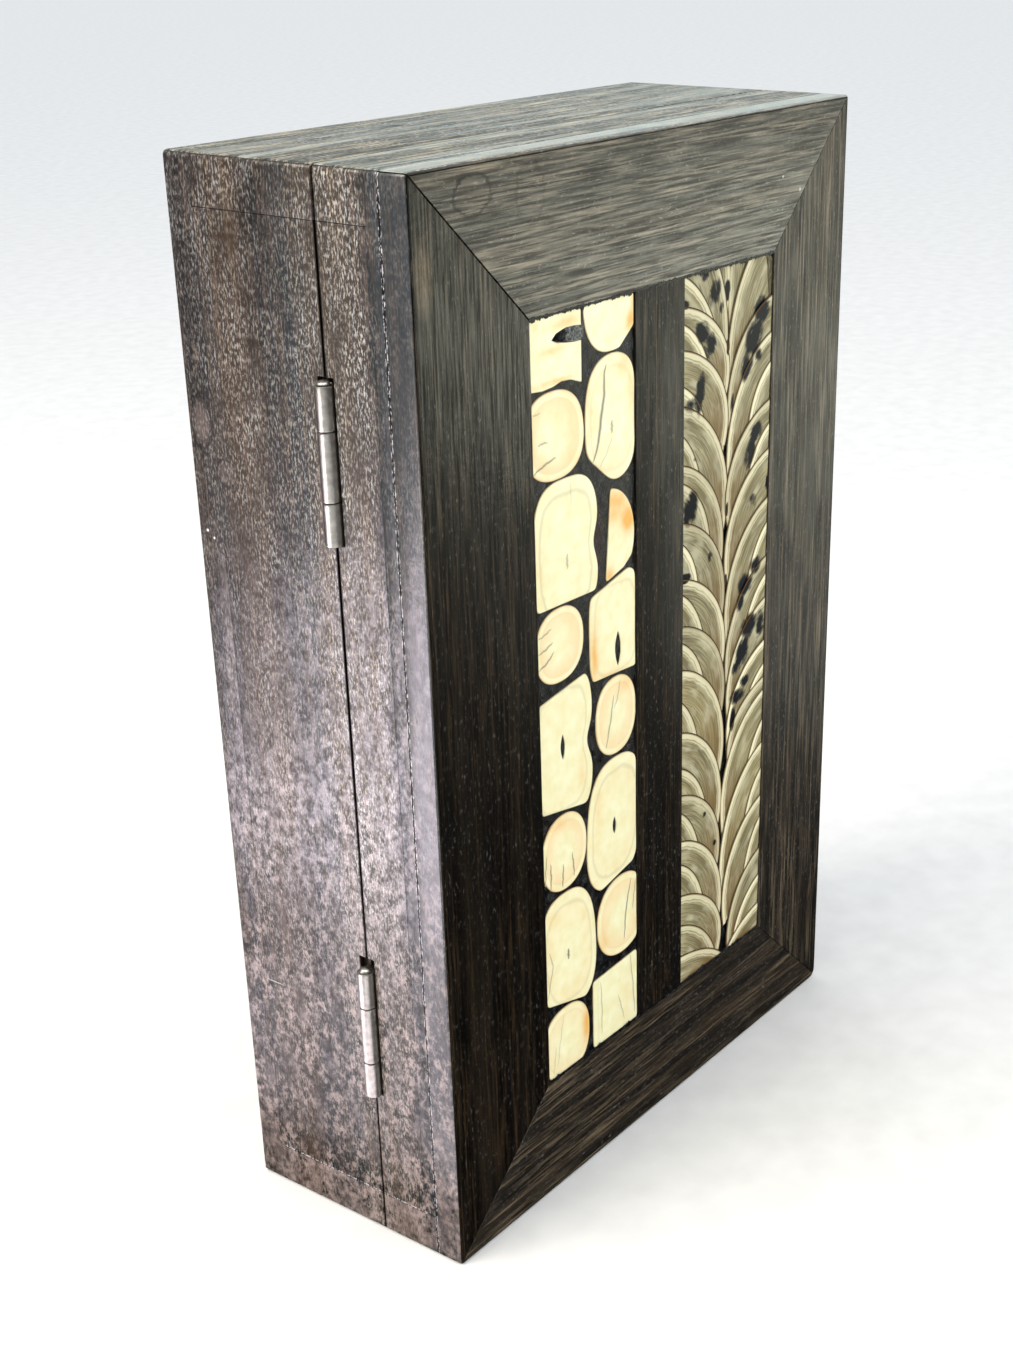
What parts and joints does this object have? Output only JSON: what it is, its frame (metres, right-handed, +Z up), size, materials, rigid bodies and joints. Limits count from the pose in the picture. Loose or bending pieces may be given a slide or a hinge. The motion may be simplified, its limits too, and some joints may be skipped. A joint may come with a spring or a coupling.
{
  "type": "cigar humidor",
  "caption": "Standing wooden cigar humidor with a side-hinged lid; its mitred frame holds a panel of tusk slices set in resin and a feather of lapped horn slices.",
  "frame": {"origin": "middle of the underside, on the case's bottom end board", "axes": "+Z up along the long side as it stands; +Y towards the back of the case, so the lid faces -Y; -X towards the hinges"},
  "size_m": [0.2535, 0.0992, 0.381],
  "materials": {
    "dark_wood": "near-black wood with tan flecks along the grain, under uneven gloss lacquer",
    "resin": "black casting resin, glossy and a little dusty",
    "tusk": "polished cream tusk with yellow rims, growth rings and hairline cracks",
    "horn": "polished grey-tan horn with cream rims and dark mottling",
    "nickel": "satin nickel plate on steel"
  },
  "bodies": {
    "case": {"case_floor_board": "dark_wood", "case_hinge_side_board": "dark_wood", "case_opening_side_board": "dark_wood", "case_top_end_board": "dark_wood", "case_bottom_end_board": "dark_wood", "upper_hinge_case_leaf": "nickel", "lower_hinge_case_leaf": "nickel", "upper_hinge_pin": "nickel", "lower_hinge_pin": "nickel"},
    "lid": {"lid_hinge_side_board": "dark_wood", "lid_opening_side_board": "dark_wood", "lid_top_end_board": "dark_wood", "lid_bottom_end_board": "dark_wood", "lid_backing_board": "dark_wood", "frame_hinge_stile": "dark_wood", "frame_opening_stile": "dark_wood", "frame_top_rail": "dark_wood", "frame_bottom_rail": "dark_wood", "frame_divider": "dark_wood", "resin_bed_hinge_side": "resin", "resin_bed_opening_side": "resin", "tusk_slice_a1": "tusk", "tusk_slice_a2": "tusk", "tusk_slice_a3": "tusk", "tusk_slice_a4": "tusk", "tusk_slice_a5": "tusk", "tusk_slice_a6": "tusk", "tusk_slice_a7": "tusk", "tusk_slice_a8": "tusk", "tusk_slice_b1": "tusk", "tusk_slice_b2": "tusk", "tusk_slice_b3": "tusk", "tusk_slice_b4": "tusk", "tusk_slice_b5": "tusk", "tusk_slice_b6": "tusk", "tusk_slice_b7": "tusk", "tusk_slice_b8": "tusk", "horn_slices_hinge_side_1": "horn", "horn_slices_hinge_side_2": "horn", "horn_slices_hinge_side_3": "horn", "horn_slices_hinge_side_4": "horn", "horn_slices_hinge_side_5": "horn", "horn_slices_hinge_side_6": "horn", "horn_slices_hinge_side_7": "horn", "horn_slices_hinge_side_8": "horn", "horn_slices_opening_side_1": "horn", "horn_slices_opening_side_2": "horn", "horn_slices_opening_side_3": "horn", "horn_slices_opening_side_4": "horn", "horn_slices_opening_side_5": "horn", "horn_slices_opening_side_6": "horn", "horn_slices_opening_side_7": "horn", "horn_slices_opening_side_8": "horn", "upper_hinge_lid_leaf": "nickel", "lower_hinge_lid_leaf": "nickel"}
  },
  "joints": [
    {"name": "lid_hinge", "type": "hinge", "parent": "case", "child": "lid", "pos_m": [-0.12575, -0.013, 0.1905], "axis": [0, 0, -1], "range_deg": [0, 180]}
  ]
}
